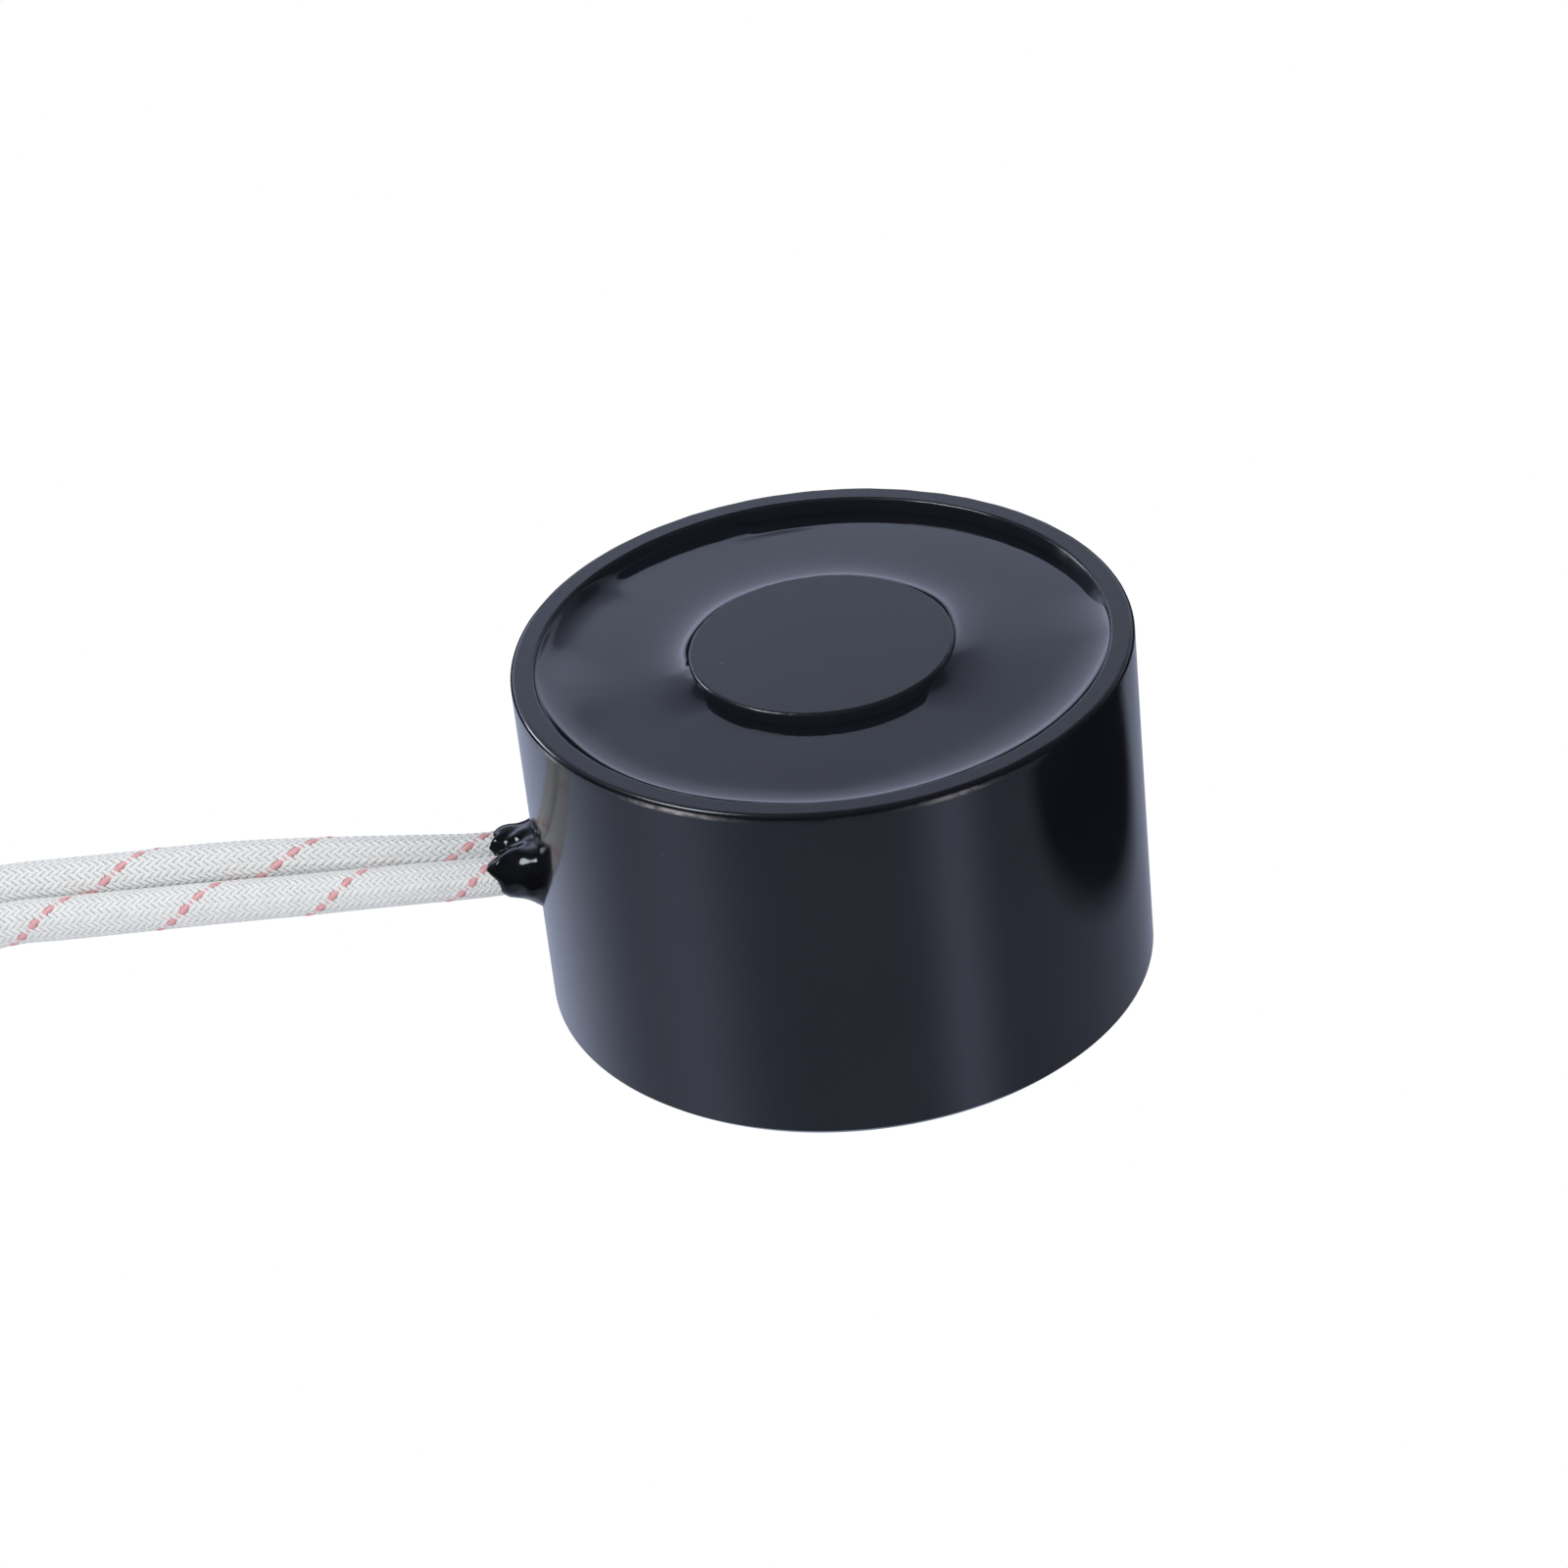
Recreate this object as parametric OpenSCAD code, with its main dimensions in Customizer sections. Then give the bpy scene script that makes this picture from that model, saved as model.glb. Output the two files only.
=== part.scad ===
// Round holding electromagnet used as a magnetic gripper on a robot arm.
// A one-piece turned steel pot with a centre pole carries a potted coil. It is
// drawn standing on its mounting face, with the working face up. The two leads
// in braided sleeves leave the pot's side and end in a tied coil.
// Origin: centre of the mounting face. +Z points to the working face.

/* [Pot] */
// Outer diameter of the pot
pot_d = 60; // [56:0.5:80]
// Height from the mounting face to the working face
pot_h = 36.5; // [34:0.5:50]
// Thickness of the side wall
wall = 2.4; // [2:0.1:3]
// Thickness of the steel under the coil
base_t = 6.5; // [5:0.1:8]
// Diameter of the centre pole
pole_d = 25.7; // [22:0.1:26]
// Rounding of the working face's outer edge
outer_edge_r = 0.5; // [0.2:0.1:1]
// Rounding of the two edges along the resin groove
groove_edge_r = 0.3; // [0.1:0.1:0.6]
// Chamfer of the mounting face's outer edge
back_edge_c = 0.7; // [0.3:0.1:1.5]

/* [Mounting thread] */
// Core diameter of the M8 thread
thread_core_d = 6.8; // [5:0.1:8.5]
// Depth of the full thread
thread_depth = 12; // [8:0.5:14]
// Depth of the drill point below the thread
drill_point_h = 2; // [1:0.1:3]
// Width of the countersink at the thread's mouth
thread_sink = 0.9; // [0.3:0.1:1.5]

/* [Coil] */
// Thickness of the insulating washer under the bobbin
washer_t = 0.8; // [0.5:0.1:1.5]
// Thickness of the bobbin's tube
bobbin_tube_t = 0.9; // [0.6:0.1:1.2]
// Thickness of each bobbin flange
flange_t = 1; // [0.6:0.1:1.5]
// Gap between the bobbin's flanges and the pot's side wall
flange_gap = 3.6; // [3.4:0.1:4.4]
// How far the flanges stand out past the copper winding
flange_lip = 1.4; // [1:0.1:2.4]
// Thickness of the tape round the winding
tape_t = 0.4; // [0.2:0.1:0.6]
// Play between the bobbin and the centre pole
bobbin_play = 0.25; // [0.1:0.05:0.4]

/* [Resin] */
// Depth of the resin surface below the working face
resin_recess = 1.2; // [1:0.1:3]
// Thickness of the resin over the bobbin
resin_cover = 4; // [2:0.1:6]
// Height to which the resin climbs at the steel
meniscus_r = 0.8; // [0.4:0.1:1]
// Gap left between pieces that touch on a curved face
seat_gap = 0.05; // [0.02:0.01:0.1]

/* [Lead exit] */
// Height of the exit hole's centre
exit_z = 15.5; // [13:0.1:18]
// Diameter of the exit hole
exit_hole_d = 9; // [8.8:0.1:10]
// Length of sealant in front of the wall
sealant_len = 5; // [3.5:0.1:7]
// Thickness of sealant round each sleeve at its tip
sealant_tip_t = 0.35; // [0.2:0.05:0.8]
// Extra radius of the sealant where it meets the wall
sealant_flare = 0.9; // [0.5:0.1:1.5]

/* [Inner wiring] */
// Diameter of the insulated lead wire
wire_d = 2.2; // [1.4:0.1:2.6]
// Length of insulated wire inside the pot
inner_wire_len = 12; // [8:0.5:14]
// Diameter of the shrink sleeve over each splice
splice_d = 3.2; // [2.8:0.1:3.6]
// Length of the shrink sleeve over each splice
splice_len = 10; // [8:0.5:12]
// Diameter of the enamelled wire that starts and ends the winding
tail_d = 0.7; // [0.5:0.1:1]
// Length of enamelled wire between its splice and the winding
tail_len = 4; // [3:0.5:6]

/* [Leads] */
// Diameter of the braided sleeves
sleeve_d = 4.3; // [4.3:0.1:4.3]
// Radius of the lead coil at the middle of its outer turn
coil_r = 27; // [27:1:27]
// Number of turns in the lead coil
coil_turns = 1.32; // [1.1:0.02:1.4]
// Length of insulated wire that shows past each sleeve
wire_end_len = 10; // [8:0.5:12]
// Length of the tinned tip on each wire
tip_len = 5; // [4:0.5:6]
// Diameter of the tinned tip
tip_d = 1.4; // [1:0.1:1.8]
// Thickness of the tie's band
tie_t = 0.5; // [0.5:0.1:0.5]
// Width of the tie's band
tie_w = 3.5; // [2.5:0.5:5]
// Length of the tie's twisted ends
tie_tail_len = 9; // [6:0.5:14]

/* [Hidden] */

$fn = 96;
over = 1;            // how far a cutting shape runs past what it cuts

pot_r = pot_d / 2;
bore_r = pot_r - wall;
pole_r = pole_d / 2;
core_r = thread_core_d / 2;
sleeve_r = sleeve_d / 2;

// Heights of the coil pack, from the pot's floor up
washer_top = base_t + washer_t;
bobbin_top = pot_h - resin_recess - resin_cover;
winding_low = washer_top + flange_t;
winding_top = bobbin_top - flange_t;
bobbin_r = pole_r + bobbin_play;
winding_in_r = bobbin_r + bobbin_tube_t;
flange_r = bore_r - flange_gap;
winding_r = flange_r - flange_lip;
tape_r = winding_r + tape_t;
resin_top = pot_h - resin_recess;

// The sleeves run side by side through the exit hole
lead_pitch = sleeve_d + 0.2;
sleeve_start_x = -(bore_r - 0.2);

// The inner wiring runs on one circle between the winding and the wall
wiring_r = (tape_r + bore_r) / 2;
wire_bend_r = 1.6;
tail_bend_r = 0.9;
wire_bend_y = lead_pitch / 2 + wire_bend_r;
wiring_first_deg = asin(wire_bend_y / (wiring_r + wire_bend_r));
splice_first_deg = wiring_first_deg + arc_deg(inner_wire_len);
tail_first_deg = splice_first_deg + arc_deg(splice_len);
tail_last_deg = tail_first_deg + arc_deg(tail_len);
wiring_room_h = max(sleeve_d, splice_d) + 0.6;
wiring_room_deg = tail_last_deg + arc_deg(2);
function arc_deg(length) = length / wiring_r * 180 / PI;

// Routes of the two leads, from inside the wall to the first turn of the coil
front_route = [
    [-27.4, -2.25, 15.5], [-31, -2.25, 15.5], [-36, -2.25, 15.4], [-41, -2.1, 15.4],
    [-47, -1.7, 15.25], [-53, -1.2, 15.0], [-59, -0.6, 14.75], [-65, 0.1, 14.4],
    [-71, 0.9, 13.95], [-77, 1.9, 13.35], [-83, 3.0, 12.65], [-90, 4.2, 10.4], [-96, 5.2, 7.4],
    [-102, 6.2, 4.7], [-108, 7.0, 3.0], [-113, 7.5, 2.65], [-118, 7.9, 2.65], [-124, 8, 2.65]];
rear_route = [
    [-27.4, 2.25, 15.5], [-31, 2.25, 15.45], [-36, 2.25, 15.4], [-41, 2.4, 15.75],
    [-47, 2.7, 16.15], [-53, 3.0, 16.5], [-59, 3.4, 16.65], [-65, 4.0, 16.4],
    [-71, 4.8, 15.85], [-77, 5.8, 15.25], [-83, 6.8, 14.6], [-90, 7.5, 13.3], [-96, 7.8, 11.4],
    [-102, 7.9, 9.2], [-108, 8, 7.8], [-113, 8, 7.15], [-118, 8, 6.98], [-124, 8, 6.95]];
route_sides = 12;

// The two leads are wound together: the front one below, the rear one on it
coil_centre = [-124, -19];
coil_inner_r = coil_r - coil_turns * sleeve_d - sleeve_r;
coil_outer_r = coil_r + sleeve_r;
front_coil_z = tie_t + sleeve_r;
rear_coil_z = front_coil_z + sleeve_d;
coil_end_deg = 90 + 360 * coil_turns;
front_end_deg = coil_end_deg + 4;
rear_end_deg = coil_end_deg - 8;
end_inward_deg = 30;     // how far the wire ends turn in from the coil's tangent
tie_deg = 150;

steel_black = [0.13, 0.14, 0.17];
resin_grey = [0.2, 0.21, 0.25];
sealant_black = [0.06, 0.06, 0.07];
sleeve_white = [0.93, 0.93, 0.92];
copper = [0.72, 0.42, 0.22];

// ---- shared shapes ---------------------------------------------------------

// The piece of a square corner that lies outside its rounding. It rounds an
// outer corner when cut away, and fills an inner one when added.
module corner_piece(at, r, turn) {
    translate(at) rotate(turn) difference() {
        square(r);
        translate([r, r]) circle(r);
    }
}

// A ring with a plain rectangular section
module ring(r_in, r_out, z_low, z_high) {
    translate([0, 0, z_low]) difference() {
        cylinder(r = r_out, h = z_high - z_low);
        translate([0, 0, -over]) cylinder(r = r_in, h = z_high - z_low + 2 * over);
    }
}

// A round rod bent along the wiring circle, between two angles from the exit
module wiring_arc(d, first_deg, last_deg) {
    translate([0, 0, exit_z]) rotate(180 + first_deg)
        rotate_extrude(angle = last_deg - first_deg) translate([wiring_r, 0]) circle(d / 2, $fn = 48);
}

// What the front lead has, mirrored for the rear lead
module rear_side() {
    mirror([0, 1, 0]) children();
}

function unit(v) = v / norm(v);

// Direction of a route at point i, from its neighbours
function heading(route, i) =
    unit(route[min(i + 1, len(route) - 1)] - route[max(i - 1, 0)]);

// A tube swept along a route: one ring of corners square to each point
module swept_tube(route, r, sides) {
    last = len(route) - 1;
    corners = [for (i = [0:last]) let (
            along = heading(route, i),
            across = unit(cross([0, 0, 1], along)),
            lift = cross(along, across))
        for (k = [0:sides - 1]) let (a = 360 * (k + 0.5) / sides)
            route[i] + r * (cos(a) * across + sin(a) * lift)];
    sides_faces = [for (i = [0:last - 1], k = [0:sides - 1]) let (n = (k + 1) % sides)
        [i * sides + k, i * sides + n, (i + 1) * sides + n, (i + 1) * sides + k]];
    first_cap = [for (k = [sides - 1:-1:0]) k];
    last_cap = [for (k = [0:sides - 1]) last * sides + k];
    polyhedron(corners, concat(sides_faces, [first_cap, last_cap]));
}

// ---- pot -------------------------------------------------------------------

// Half section of the pot: floor, wall and pole in one turned piece
module pot_section() {
    difference() {
        square([pot_r, pot_h]);
        translate([pole_r, base_t]) square([bore_r - pole_r, pot_h]);
        corner_piece([pot_r, pot_h], outer_edge_r, 180);
        corner_piece([bore_r, pot_h], groove_edge_r, -90);
        corner_piece([pole_r, pot_h], groove_edge_r, 180);
        polygon([[pot_r - back_edge_c, 0], [pot_r, 0], [pot_r, back_edge_c]]);
        square([core_r, thread_depth]);
        polygon([[0, thread_depth], [core_r, thread_depth], [0, thread_depth + drill_point_h]]);
        polygon([[core_r, 0], [core_r + thread_sink, 0], [core_r, thread_sink]]);
    }
}

module pot_body() {
    color(steel_black) difference() {
        rotate_extrude() pot_section();
        translate([-bore_r + over, 0, exit_z]) rotate([0, -90, 0])
            cylinder(d = exit_hole_d, h = wall + 2 * over);
    }
}

// ---- coil ------------------------------------------------------------------

module insulating_washer() {
    color([0.78, 0.7, 0.52]) ring(bobbin_r, flange_r, base_t, washer_top);
}

module coil_bobbin() {
    color([0.9, 0.88, 0.8]) rotate_extrude() {
        translate([bobbin_r, washer_top]) square([bobbin_tube_t, bobbin_top - washer_top]);
        for (z = [washer_top, winding_top])
            translate([bobbin_r, z]) square([flange_r - bobbin_r, flange_t]);
    }
}

module coil_winding() {
    color(copper) ring(winding_in_r, winding_r, winding_low, winding_top);
}

// The tape has a small hole for each end of the winding
module winding_tape() {
    color([0.85, 0.75, 0.3]) difference() {
        ring(winding_r, tape_r, winding_low, winding_top);
        for (side = [-1, 1])
            rotate(180 + side * tail_last_deg) translate([0, 0, exit_z]) rotate([0, 90, 0])
                cylinder(d = tail_d + 0.4, h = tape_r + over, $fn = 32);
    }
}

// ---- resin -----------------------------------------------------------------

// The resin fills the pot round and over the coil. Its surface curves up where
// it wets the steel.
module resin_section() {
    in_r = pole_r + seat_gap;
    out_r = bore_r - seat_gap;
    difference() {
        translate([in_r, base_t]) square([out_r - in_r, resin_top - base_t]);
        translate([in_r, base_t]) square([flange_r + seat_gap - in_r, winding_low - base_t]);
        translate([in_r, base_t]) square([tape_r + seat_gap - in_r, bobbin_top - base_t]);
        translate([in_r, winding_top]) square([flange_r + seat_gap - in_r, flange_t]);
    }
    corner_piece([in_r, resin_top], meniscus_r, 0);
    corner_piece([out_r, resin_top], meniscus_r, 90);
}

// Room for the wires and splices, between the winding and the wall
module wiring_room() {
    translate([0, 0, exit_z - wiring_room_h / 2]) rotate(180 - wiring_room_deg)
        rotate_extrude(angle = 2 * wiring_room_deg)
            translate([tape_r - seat_gap, 0]) square([bore_r - tape_r + over, wiring_room_h]);
}

module potting_resin() {
    color(resin_grey) difference() {
        rotate_extrude() resin_section();
        wiring_room();
    }
}

// ---- lead exit -------------------------------------------------------------

// A flare round one axis: wide at the wall, hollowed down to its tip
module flare(base_r, tip_r, length) {
    steps = 8;
    curve = [for (i = [0:steps]) let (u = i / steps)
        [tip_r + (base_r - tip_r) * (1 - u) * (1 - u), u * length]];
    nose = [[tip_r - 0.5 * (tip_r - sleeve_r), length + 0.3], [0, length + 0.3]];
    rotate([0, -90, 0]) rotate_extrude() polygon(concat([[0, -2 * over], [base_r, -2 * over]], curve, nose));
}

module exit_sealant() {
    plug_r = exit_hole_d / 2 - seat_gap;
    web_len = 0.5 * sealant_len;
    color(sealant_black) difference() {
        union() {
            translate([-bore_r - seat_gap, 0, exit_z]) rotate([0, -90, 0])
                cylinder(r = plug_r, h = wall + over);
            difference() {
                translate([-pot_r, 0, exit_z]) {
                    flare(exit_hole_d / 2 + sealant_flare, sleeve_r + 1, web_len);
                    for (side = [-1, 1])
                        translate([0, side * lead_pitch / 2, 0])
                            flare(sleeve_r + 1.6, sleeve_r + sealant_tip_t, sealant_len);
                }
                translate([0, 0, -over]) cylinder(r = pot_r + 0.02, h = pot_h + 2 * over);
            }
        }
        for (side = [-1, 1])
            translate([-bore_r + over, side * lead_pitch / 2, exit_z]) rotate([0, -90, 0])
                cylinder(r = sleeve_r, h = wall + sealant_len + 3 * over, $fn = 48);
    }
}

// ---- inner wiring ----------------------------------------------------------

// Insulated wire from the end of the sleeve, through a bend that touches the
// wiring circle, and along that circle to its splice
module inner_wire() {
    bend_x = -(wiring_r + wire_bend_r) * cos(wiring_first_deg);
    bend = [for (a = [90:-15:wiring_first_deg + 8])
        [bend_x + wire_bend_r * cos(a), wire_bend_r * sin(a) - wire_bend_y, exit_z]];
    run_steps = 6;
    run = [for (i = [0:run_steps])
        let (a = 180 + wiring_first_deg + i / run_steps * arc_deg(inner_wire_len))
        [wiring_r * cos(a), wiring_r * sin(a), exit_z]];
    swept_tube(concat([[sleeve_start_x, -lead_pitch / 2, exit_z]], bend, run), wire_d / 2, 8);
}

module splice_sleeve() {
    wiring_arc(splice_d, splice_first_deg, tail_first_deg);
}

// Enamelled wire from its splice along the wiring circle, then through a bend
// and the tape to the winding
module winding_tail() {
    run_steps = 3;
    run = [for (i = [0:run_steps])
        let (a = 180 + tail_first_deg + i / run_steps * arc_deg(tail_len - tail_bend_r))
        [wiring_r * cos(a), wiring_r * sin(a), exit_z]];
    last = 180 + tail_last_deg;
    outward = [cos(last), sin(last), 0];
    onward = [-sin(last), cos(last), 0];
    centre = (wiring_r - tail_bend_r) * outward - tail_bend_r * onward + [0, 0, exit_z];
    bend = [for (a = [22.5:22.5:90]) centre + tail_bend_r * (sin(a) * onward + cos(a) * outward)];
    seat = (winding_r + seat_gap) * outward + [0, 0, exit_z];
    swept_tube(concat(run, bend, [seat]), tail_d / 2, 8);
}

module inner_wire_front() { color("white") inner_wire(); }
module inner_wire_rear() { color("white") rear_side() inner_wire(); }
module splice_sleeve_front() { color(sealant_black) splice_sleeve(); }
module splice_sleeve_rear() { color(sealant_black) rear_side() splice_sleeve(); }
module winding_start_tail() { color(copper) winding_tail(); }
module winding_finish_tail() { color(copper) rear_side() winding_tail(); }

// ---- leads -----------------------------------------------------------------

module lead_front() { color(sleeve_white) swept_tube(front_route, sleeve_r, route_sides); }
module lead_rear() { color(sleeve_white) swept_tube(rear_route, sleeve_r, route_sides); }

// Outer shape of one coiled lead: a ring with rounded sides
module lead_coil(z) {
    in_r = coil_inner_r + sleeve_r;
    translate([coil_centre[0], coil_centre[1], z]) rotate_extrude() {
        translate([in_r, -sleeve_r]) square([coil_r - in_r, sleeve_d]);
        for (x = [in_r, coil_r]) translate([x, 0]) circle(sleeve_r, $fn = 48);
    }
}

module lead_coil_front() { color(sleeve_white) lead_coil(front_coil_z); }
module lead_coil_rear() { color(sleeve_white) lead_coil(rear_coil_z); }

// Puts its children at the inner side of the coil, with +X along the wire end
module at_wire_end(deg, z) {
    translate([coil_centre[0], coil_centre[1], z]) rotate(deg) translate([coil_inner_r, 0, 0])
        rotate(90 + end_inward_deg) children();
}

module wire_end(deg, z) {
    at_wire_end(deg, z) rotate([0, 90, 0]) cylinder(d = wire_d, h = wire_end_len, $fn = 48);
}

module tinned_tip(deg, z) {
    at_wire_end(deg, z) translate([wire_end_len, 0, 0]) rotate([0, 90, 0])
        cylinder(d = tip_d, h = tip_len, $fn = 32);
}

module wire_end_front() { color("white") wire_end(front_end_deg, front_coil_z); }
module wire_end_rear() { color("white") wire_end(rear_end_deg, rear_coil_z); }
module tinned_tip_front() { color("silver") tinned_tip(front_end_deg, front_coil_z); }
module tinned_tip_rear() { color("silver") tinned_tip(rear_end_deg, rear_coil_z); }

// Band round both turns, with its twisted ends pointing away from the coil
module lead_tie() {
    low = [sqrt(coil_inner_r * coil_inner_r - tie_w * tie_w / 4) - seat_gap, 0];
    high = [coil_outer_r + seat_gap, 2 * tie_t + 2 * sleeve_d];
    color(sealant_black) translate([coil_centre[0], coil_centre[1], 0]) rotate(tie_deg) {
        rotate([90, 0, 0]) translate([0, 0, -tie_w / 2]) linear_extrude(tie_w) difference() {
            translate([low[0] - tie_t, low[1]]) square([high[0] - low[0] + 2 * tie_t, high[1]]);
            translate([low[0], tie_t]) square([high[0] - low[0], high[1] - 2 * tie_t]);
        }
        translate([high[0] + tie_t, 0, high[1] / 2]) rotate([0, 90, 0])
            cylinder(r = 2 * tie_t, h = tie_tail_len, $fn = 32);
    }
}

pot_body();
insulating_washer();
coil_bobbin();
coil_winding();
winding_tape();
potting_resin();
exit_sealant();
inner_wire_front();
inner_wire_rear();
splice_sleeve_front();
splice_sleeve_rear();
winding_start_tail();
winding_finish_tail();
lead_front();
lead_rear();
lead_coil_front();
lead_coil_rear();
wire_end_front();
wire_end_rear();
tinned_tip_front();
tinned_tip_rear();
lead_tie();
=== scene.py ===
import math

import bpy
import numpy as np
from mathutils import Matrix, Vector


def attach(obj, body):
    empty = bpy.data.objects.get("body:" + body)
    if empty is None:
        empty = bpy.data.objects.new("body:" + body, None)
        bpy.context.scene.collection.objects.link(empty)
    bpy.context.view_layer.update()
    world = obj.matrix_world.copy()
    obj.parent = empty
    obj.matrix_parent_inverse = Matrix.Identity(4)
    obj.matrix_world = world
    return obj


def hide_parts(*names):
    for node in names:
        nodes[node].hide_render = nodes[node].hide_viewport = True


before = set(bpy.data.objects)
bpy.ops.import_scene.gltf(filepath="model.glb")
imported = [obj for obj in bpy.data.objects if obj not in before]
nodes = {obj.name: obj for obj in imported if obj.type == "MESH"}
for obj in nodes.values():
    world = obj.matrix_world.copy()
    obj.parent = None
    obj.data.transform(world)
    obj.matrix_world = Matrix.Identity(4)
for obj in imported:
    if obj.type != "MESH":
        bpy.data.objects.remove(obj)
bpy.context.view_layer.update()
mm = 0.001
print("frame loaded with", len(nodes), "solids")


def placeObject(name, data):
    placed = bpy.data.objects.new(name, data)
    bpy.context.scene.collection.objects.link(placed)
    return placed


# camera

cameraSetup = {
    "lens": 105.86,
    "sensor": 36.0,
    "placeMm": (-5.02, -377.78, 265.16),
    "elevationDeg": 32.883,
    "rollDeg": -6.328,
    "nearest": 0.02,
    "farthest": 20.0,
}


def placeCamera(setup):
    # right, top and back are the camera's own axes, turned by its roll about back
    lift = math.radians(setup["elevationDeg"])
    roll = math.radians(setup["rollDeg"])
    level = np.array([1.0, 0.0, 0.0])
    up = np.array([0.0, math.sin(lift), math.cos(lift)])
    back = np.array([0.0, -math.cos(lift), math.sin(lift)])
    right = math.cos(roll) * level + math.sin(roll) * up
    top = math.cos(roll) * up - math.sin(roll) * level
    turn = Matrix(np.column_stack([right, top, back]).tolist()).to_4x4()
    data = bpy.data.cameras.new("camera")
    data.sensor_width = setup["sensor"]
    data.lens = setup["lens"]
    data.clip_start = setup["nearest"]
    data.clip_end = setup["farthest"]
    camera = placeObject("camera", data)
    camera.matrix_world = Matrix.Translation(Vector(setup["placeMm"]) * mm) @ turn
    bpy.context.scene.camera = camera


placeCamera(cameraSetup)
bpy.context.scene.view_settings.view_transform = "Standard"
print("camera placed")


# shared shapes, all in millimetres

def newSurface(name, shell, finish):
    # a shell is its points and a list of arrays of corner numbers, one row for each face
    points, faceSets = shell
    sides = np.concatenate([np.full(len(f), f.shape[1]) for f in faceSets])
    starts = np.concatenate([[0], np.cumsum(sides)[:-1]]).astype(np.int32)
    corners = np.concatenate([f.ravel() for f in faceSets]).astype(np.int32)
    mesh = bpy.data.meshes.new(name)
    mesh.vertices.add(len(points))
    mesh.vertices.foreach_set("co", (points * mm).astype(np.float32).ravel())
    mesh.loops.add(len(corners))
    mesh.loops.foreach_set("vertex_index", corners)
    mesh.polygons.add(len(sides))
    mesh.polygons.foreach_set("loop_start", starts)
    mesh.update(calc_edges=True)
    mesh.validate()
    mesh.polygons.foreach_set("use_smooth", np.full(len(mesh.polygons), True))
    mesh.materials.append(finish)
    return placeObject(name, mesh)


def newPiece(name, shell, finish):
    piece = newSurface(name, shell, finish)
    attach(piece, "root")
    return piece


def gridFaces(rows, columns, closeRows=False):
    # quads between neighbouring rows of a grid stored row by row; each row closes on itself
    i = np.arange(rows if closeRows else rows - 1)[:, None]
    j = np.arange(columns)[None, :]
    nextRow = (i + 1) % rows
    nextColumn = (j + 1) % columns
    quads = np.stack(np.broadcast_arrays(i * columns + j, i * columns + nextColumn,
                                         nextRow * columns + nextColumn, nextRow * columns + j), axis=-1)
    return quads.reshape(-1, 4)


def closedRings(rings, ends, flip=False):
    # quads between the rings of rings[row, column], and a fan of triangles to one point at each end
    rows, columns = rings.shape[:2]
    count = rows * columns
    ring = np.arange(columns)
    fan = np.column_stack([ring, np.roll(ring, -1), np.full(columns, count)])
    faces = [gridFaces(rows, columns), fan[:, ::-1], fan + [count - columns, count - columns, 1]]
    if flip:
        faces = [f[:, ::-1] for f in faces]
    return np.concatenate([rings.reshape(-1, 3), ends]), faces


def joinShells(shells):
    # several shells as one, with the corner numbers of each moved past those before it
    allPoints = []
    allFaces = []
    first = 0
    for points, faces in shells:
        allPoints.append(points)
        allFaces += [f + first for f in faces]
        first += len(points)
    return np.concatenate(allPoints), allFaces


def cutWith(piece, cutter):
    # takes the cutter's volume out of the piece
    cut = piece.modifiers.new("cut", "BOOLEAN")
    cut.operation = "DIFFERENCE"
    cut.solver = "EXACT"
    cut.object = cutter
    graph = bpy.context.evaluated_depsgraph_get()
    piece.data = bpy.data.meshes.new_from_object(piece.evaluated_get(graph))
    piece.modifiers.clear()
    bpy.data.objects.remove(cutter)


def arcPoints(centre, radius, fromDeg, toDeg, steps):
    # centre + radius * (cos a, sin a), with a going evenly from one angle to the other
    a = np.radians(np.linspace(fromDeg, toDeg, steps + 1))
    return np.column_stack([centre[0] + radius * np.cos(a), centre[1] + radius * np.sin(a)])


def turned(stretches, columns):
    # every (r, z) of a profile turned round the Z axis: (r cos a, r sin a, z); the profile comes in named
    # stretches, and the angles a and the rows that each stretch takes are given too
    profile = np.concatenate(list(stretches.values()))
    a = 2 * math.pi * np.arange(columns) / columns
    r = profile[:, :1]
    z = np.broadcast_to(profile[:, 1:], (len(profile), columns))
    ends = np.cumsum([len(p) for p in stretches.values()])
    rows = {name: slice(end - len(p), end) for (name, p), end in zip(stretches.items(), ends)}
    return np.stack([r * np.cos(a), r * np.sin(a), z], axis=-1), a, rows


# unevenness

def ripple(angle, mean, height, seed, low, high):
    # mean + height * sum of cosines with whole wave numbers from low to high and seeded phases
    draw = np.random.default_rng(seed)
    waves = np.arange(low, high + 1)
    size = draw.uniform(0.4, 1.0, len(waves))
    phase = draw.uniform(0, 2 * math.pi, len(waves))
    angle = np.asarray(angle, float)
    waved = (size * np.cos(angle[..., None] * waves + phase)).sum(-1) / np.sqrt((size ** 2).sum())
    return mean + height * waved


def smoothStep(low, high, value):
    # 0 below low, 1 above high, and 3 u^2 - 2 u^3 between them
    u = np.clip((value - low) / (high - low), 0, 1)
    return u * u * (3 - 2 * u)


def bump(value, centre, width):
    # bell curve exp(-((value - centre) / width)^2)
    return np.exp(-((value - centre) / width) ** 2)


def angleFrom(angle, centre):
    # signed angle from centre to angle, from -180 to 180 degrees
    return (angle - centre + 180) % 360 - 180


def bumpsRound(deg, marks):
    # sum of height * bell of the angle from each mark (centre, width, height)
    return sum(height * bump(angleFrom(deg, centre), 0, width) for centre, width, height in marks)


def lumpsOn(deg, along, marks):
    # sum of height * bell of the angle * bell of the distance, for (centre, width, place, length, height)
    return sum(height * bump(angleFrom(deg, centre), 0, width) * bump(along, place, length)
               for centre, width, place, length, height in marks)


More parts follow.
